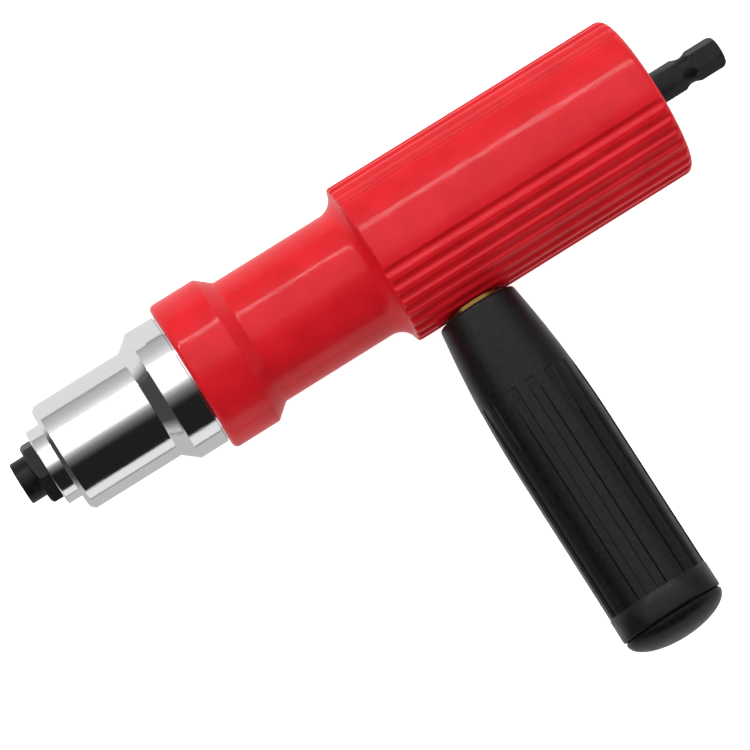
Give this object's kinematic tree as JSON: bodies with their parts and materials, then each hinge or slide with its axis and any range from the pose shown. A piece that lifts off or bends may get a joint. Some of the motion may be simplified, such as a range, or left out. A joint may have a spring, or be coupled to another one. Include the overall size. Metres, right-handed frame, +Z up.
{
  "type": "drill-driven blind rivet puller",
  "caption": "Drill-driven blind rivet puller: a screw inside a fluted housing pulls three jaws back through the nosepiece; a side handle stops it turning.",
  "frame": {"origin": "centre of the nosepiece's front face, on the tool's axis", "axes": "+X along the tool from the nosepiece to the drive shank's tip, -Y along the side handle, +Z up with the tool lying on its side"},
  "size_m": [0.2172, 0.1498, 0.047],
  "materials": {
    "red_paint": "gloss",
    "chrome": "polished",
    "black_oxide": "satin",
    "black_plastic": "satin",
    "zinc_plate": "satin",
    "plain_steel": "machined",
    "tool_steel": "hardened",
    "bearing_steel": "ground",
    "bronze": "machined",
    "black_rubber": "matte"
  },
  "bodies": {
    "casing": {"housing": "red_paint", "front_sleeve": "chrome", "nosepiece": "black_oxide", "guide_sleeve": "plain_steel", "sleeve_pin": "plain_steel", "thrust_washer_front": "bearing_steel", "bearing_outer_ring": "bearing_steel", "bearing_spacer": "plain_steel", "rear_cover": "black_oxide", "rear_bush": "bronze", "rear_seal": "black_rubber"},
    "spindle": {"drive_spindle": "black_oxide", "thrust_washer_rear": "bearing_steel", "bearing_inner_ring": "bearing_steel", "spindle_circlip": "plain_steel"},
    "thrust_cage_body": {"thrust_cage": "bronze", "thrust_balls": "bearing_steel"},
    "bearing_cage_body": {"bearing_cage": "bronze", "bearing_balls": "bearing_steel"},
    "pull_head": {"pull_nut": "bronze", "pull_tube": "plain_steel", "jaw_case": "tool_steel", "jaw_case_lock_nut": "plain_steel", "guide_keys": "tool_steel", "key_screws": "black_oxide", "jaw_spring": "plain_steel"},
    "pusher_body": {"jaw_pusher": "plain_steel"},
    "jaw_1_body": {"jaw_1": "tool_steel"},
    "jaw_2_body": {"jaw_2": "tool_steel"},
    "jaw_3_body": {"jaw_3": "tool_steel"},
    "handle_slider": {"handle_washer": "zinc_plate"},
    "side_handle": {"handle_grip": "black_plastic", "handle_stud": "plain_steel", "handle_cap": "black_plastic"}
  },
  "joints": [
    {"name": "drive_spin", "type": "hinge", "parent": "casing", "child": "spindle", "pos_m": [0.2, 0, 0], "axis": [1, 0, 0], "range_deg": [0, 2521]},
    {"name": "thrust_cage_spin", "type": "hinge", "parent": "casing", "child": "thrust_cage_body", "pos_m": [0.139, 0, 0], "axis": [1, 0, 0], "range_deg": [0, 1261]},
    {"name": "bearing_cage_spin", "type": "hinge", "parent": "casing", "child": "bearing_cage_body", "pos_m": [0.154, 0, 0], "axis": [1, 0, 0], "range_deg": [0, 1029.16]},
    {"name": "pull_slide", "type": "slide", "parent": "casing", "child": "pull_head", "axis": [1, 0, 0], "range_m": [0, 0.014]},
    {"name": "pusher_slide", "type": "slide", "parent": "pull_head", "child": "pusher_body", "axis": [-1, 0, 0], "range_m": [0, 0.00268], "deforming": ["jaw_spring"]},
    {"name": "jaw_1_slide", "type": "slide", "parent": "pull_head", "child": "jaw_1_body", "axis": [-0.9763, 0, -0.2164], "range_m": [0, 0.00308]},
    {"name": "jaw_2_slide", "type": "slide", "parent": "pull_head", "child": "jaw_2_body", "axis": [-0.9763, 0.1874, 0.1082], "range_m": [0, 0.00308]},
    {"name": "jaw_3_slide", "type": "slide", "parent": "pull_head", "child": "jaw_3_body", "axis": [-0.9763, -0.1874, 0.1082], "range_m": [0, 0.00308]},
    {"name": "handle_travel", "type": "slide", "parent": "casing", "child": "handle_slider", "axis": [0, -1, 0], "range_m": [0, 0.00601]},
    {"name": "handle_unscrew", "type": "hinge", "parent": "handle_slider", "child": "side_handle", "pos_m": [0.1258, -0.03, 0], "axis": [0, -1, 0], "range_deg": [0, 1440]}
  ],
  "couplings": [
    {"joint": "drive_spin", "follows": "pull_slide", "rad_per_m": 3141.6},
    {"joint": "thrust_cage_spin", "follows": "pull_slide", "rad_per_m": 1570.8},
    {"joint": "bearing_cage_spin", "follows": "pull_slide", "rad_per_m": 1281.8},
    {"joint": "pusher_slide", "follows": "pull_slide", "ratio": 0.19053},
    {"joint": "jaw_1_slide", "follows": "pull_slide", "ratio": 0.21949},
    {"joint": "jaw_2_slide", "follows": "pull_slide", "ratio": 0.21949},
    {"joint": "jaw_3_slide", "follows": "pull_slide", "ratio": 0.21949},
    {"joint": "handle_travel", "follows": "handle_unscrew", "m_per_rad": 0.00023873}
  ]
}
